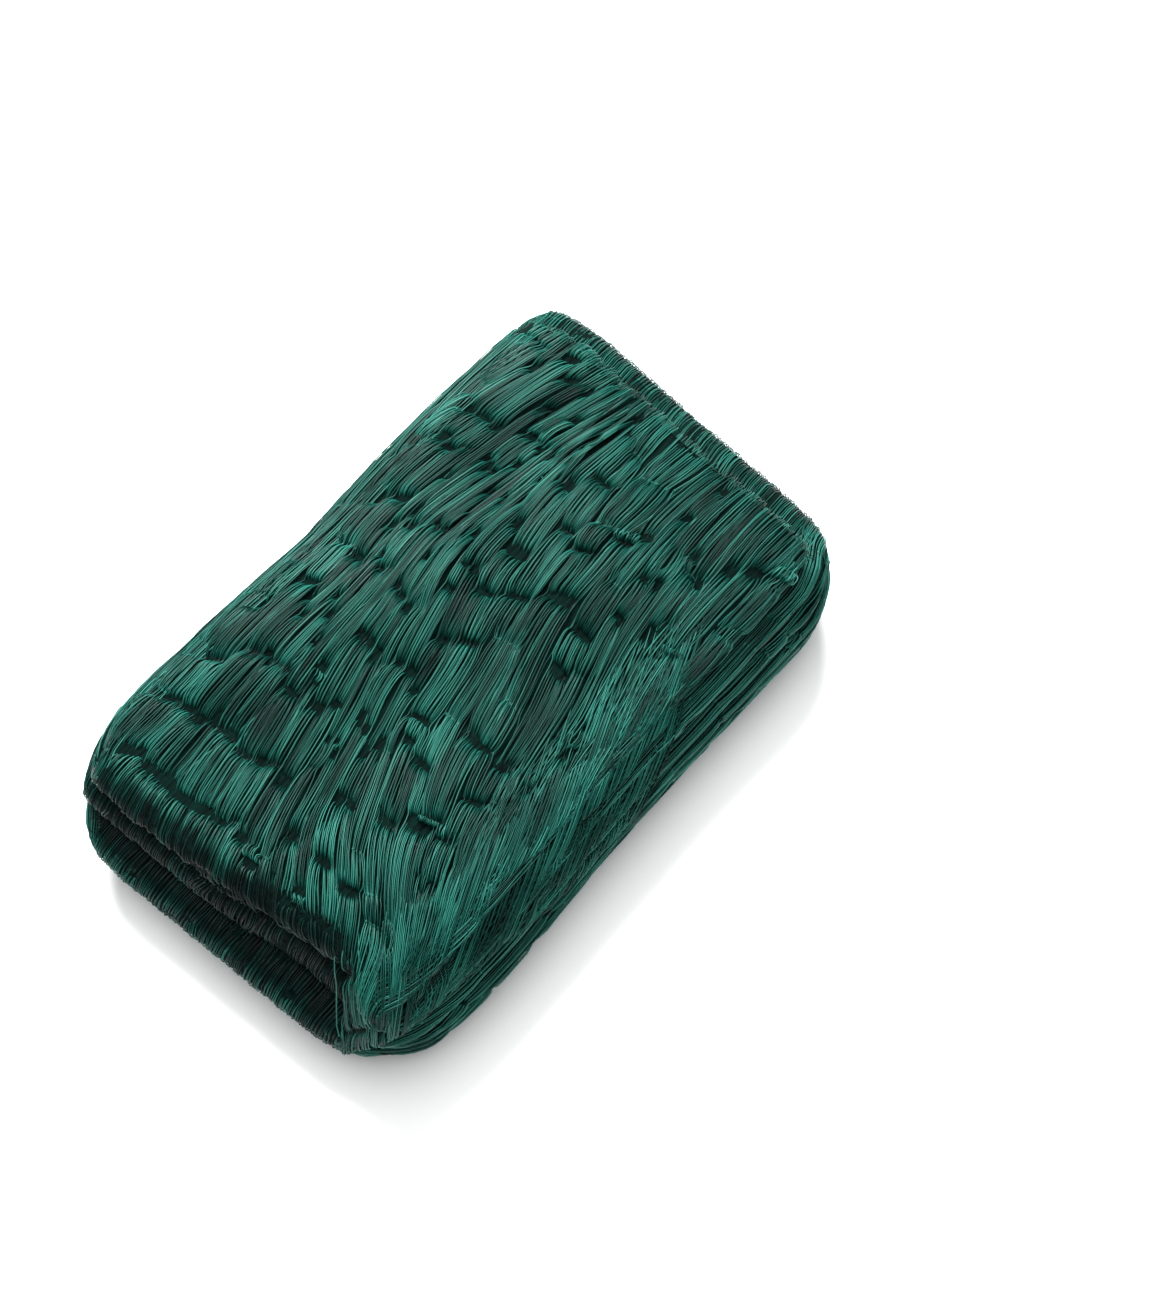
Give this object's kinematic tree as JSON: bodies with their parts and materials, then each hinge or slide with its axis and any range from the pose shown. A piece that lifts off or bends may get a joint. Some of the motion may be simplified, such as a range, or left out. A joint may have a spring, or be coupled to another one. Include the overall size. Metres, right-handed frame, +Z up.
{
  "type": "folded trellis netting",
  "caption": "Fine green plastic trellis netting for climbing plants, gathered to a flat band and folded back and forth into a brick-shaped bundle.",
  "frame": {"origin": "middle of the bundle's footprint, on the surface it lies on", "axes": "+X along the bundle, towards its straighter and higher end; +Y across it; +Z up through the folded layers"},
  "size_m": [0.1554, 0.0966, 0.0446],
  "materials": {
    "net_strand": "satin, fine extruded strands in dark and mid green"
  },
  "bodies": {
    "root": {"netting": "net_strand"}
  },
  "joints": []
}
